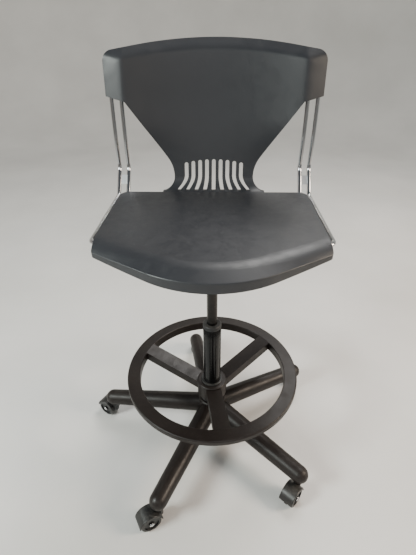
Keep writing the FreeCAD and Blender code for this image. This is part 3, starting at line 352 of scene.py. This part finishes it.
# ---------------------------------------------------------------- casters
def wheel_axis(index):
    """Centre and direction of a caster's axle, from the joint its wheels turn on."""
    for joint in frame["joints"]:
        if joint["name"] == "caster_%d_left_spin" % index:
            return Vector(joint["pos_m"]), Vector(joint["axis"]).normalized()
    raise KeyError(index)


def tread_bands():
    """The outer band of every wheel takes the tread's finish."""
    for index in CASTERS:
        centre, axis = wheel_axis(index)
        for side in SIDES:
            mesh = NODES["caster_%d_wheel_%s" % (index, side)].data
            mesh.materials.append(MATERIALS["tread"])
            arms = [p.center - centre for p in mesh.polygons]
            reach = [(arm - axis * arm.dot(axis)).length for arm in arms]
            edge = max(reach) - TREAD_BAND
            for polygon, radius in zip(mesh.polygons, reach):
                if radius > edge:
                    polygon.material_index = 1


def lathe(name, profile, segments=40, lid=True):
    """A smooth body of revolution about Z from (radius, height) pairs, with or without its lid."""
    verts, faces = [], []
    for radius, height in profile:
        for step in range(segments):
            angle = 2 * math.pi * step / segments
            verts.append((radius * math.cos(angle), radius * math.sin(angle), height))
    for row in range(len(profile) - 1):
        for step in range(segments):
            a = row * segments + step
            b = row * segments + (step + 1) % segments
            faces.append((a, b, b + segments, a + segments))
    faces.append(tuple(range(segments))[::-1])
    if lid:
        faces.append(tuple(range((len(profile) - 1) * segments, len(profile) * segments)))
    mesh = bpy.data.meshes.new(name)
    mesh.from_pydata(verts, [], faces)
    for polygon in mesh.polygons:
        polygon.use_smooth = len(polygon.vertices) == 4
    made = bpy.data.objects.new(name, mesh)
    bpy.context.scene.collection.objects.link(made)
    return made


def hub_caps():
    """A bright domed cap on each end of every axle."""
    for index in CASTERS:
        centre, axis = wheel_axis(index)
        axle = NODES["caster_%d_axle" % index]
        reach = max((v.co - centre).dot(axis) for v in axle.data.vertices)
        for side, sign in zip(SIDES, (1, -1)):
            cap = lathe("caster_%d_cap_%s" % (index, side), CAP_PROFILE)
            turn = Vector((0, 0, 1)).rotation_difference(axis * sign).to_matrix().to_4x4()
            place = centre + axis * sign * (reach - CAP_OVERLAP)
            cap.matrix_world = Matrix.Translation(place) @ turn
            cap.data.materials.append(MATERIALS["chrome"])
            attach(cap, "caster_%d" % index)


# ---------------------------------------------------------------- floor, light, camera
def studio_floor():
    """A pale round floor that curves up far behind the chair."""
    rings = [(0.01, 0.0), (1.0, 0.0), (2.4, 0.0), (FLOOR_FLAT, 0.0)]
    for step in range(1, FLOOR_BEND_STEPS + 1):
        angle = math.pi / 2 * step / FLOOR_BEND_STEPS
        rings.append((FLOOR_FLAT + FLOOR_BEND * math.sin(angle), FLOOR_BEND * (1 - math.cos(angle))))
    rings.append((FLOOR_FLAT + FLOOR_BEND, FLOOR_WALL))
    floor = lathe("floor", rings, 96, lid=False)
    for polygon in floor.data.polygons:
        polygon.use_smooth = True
    floor.location.z = -FLOOR_SINK
    material, graph, shader = new_material("floor")
    patches = graph.spread(graph.noise(graph.place(), 2.2, 5.0), 0.3, 0.7)
    graph.put(shader, "Base Color", graph.mix(patches, FLOOR, FLOOR_SHADE))
    graph.put(shader, "Roughness", graph.spread(graph.noise(graph.place(), 30.0, 4.0), 0.2, 0.8, 0.55, 0.75))
    graph.put(shader, "Normal", graph.bump(graph.noise(graph.place(), 400.0, 3.0), 0.0002))
    floor.data.materials.append(material)


def area_light(name, place, target, size, power, colour):
    data = bpy.data.lights.new(name, "AREA")
    data.shape = "DISK"
    data.size = size
    data.energy = power
    data.color = colour
    light = bpy.data.objects.new(name, data)
    light.location = place
    aim = Vector(target) - Vector(place)
    light.rotation_euler = aim.to_track_quat("-Z", "Y").to_euler()
    bpy.context.scene.collection.objects.link(light)


def studio_light():
    world = bpy.data.worlds.new("studio")
    world.use_nodes = True
    background = world.node_tree.nodes["Background"]
    background.inputs[0].default_value = WORLD_COLOUR
    background.inputs[1].default_value = WORLD_STRENGTH
    bpy.context.scene.world = world
    for name, settings in LIGHTS.items():
        area_light(name, *settings)


def set_camera():
    level = math.cos(CAMERA_PITCH)
    ahead = Vector((math.sin(CAMERA_YAW) * level, math.cos(CAMERA_YAW) * level, -math.sin(CAMERA_PITCH)))
    right = Vector((math.cos(CAMERA_YAW), -math.sin(CAMERA_YAW), 0.0))
    up = right.cross(ahead)
    across = right * math.cos(CAMERA_ROLL) + up * math.sin(CAMERA_ROLL)
    above = up * math.cos(CAMERA_ROLL) - right * math.sin(CAMERA_ROLL)
    data = bpy.data.cameras.new("camera")
    data.lens = CAMERA_LENS
    data.sensor_width = CAMERA_SENSOR
    data.sensor_fit = "AUTO"
    data.clip_start = CAMERA_CLIP
    camera = bpy.data.objects.new("camera", data)
    turn = Matrix((across, above, -ahead)).transposed().to_4x4()
    camera.matrix_world = Matrix.Translation(CAMERA_PLACE) @ turn
    bpy.context.scene.collection.objects.link(camera)
    bpy.context.scene.camera = camera


dress_nodes()
tread_bands()
hub_caps()
studio_floor()
studio_light()
set_camera()
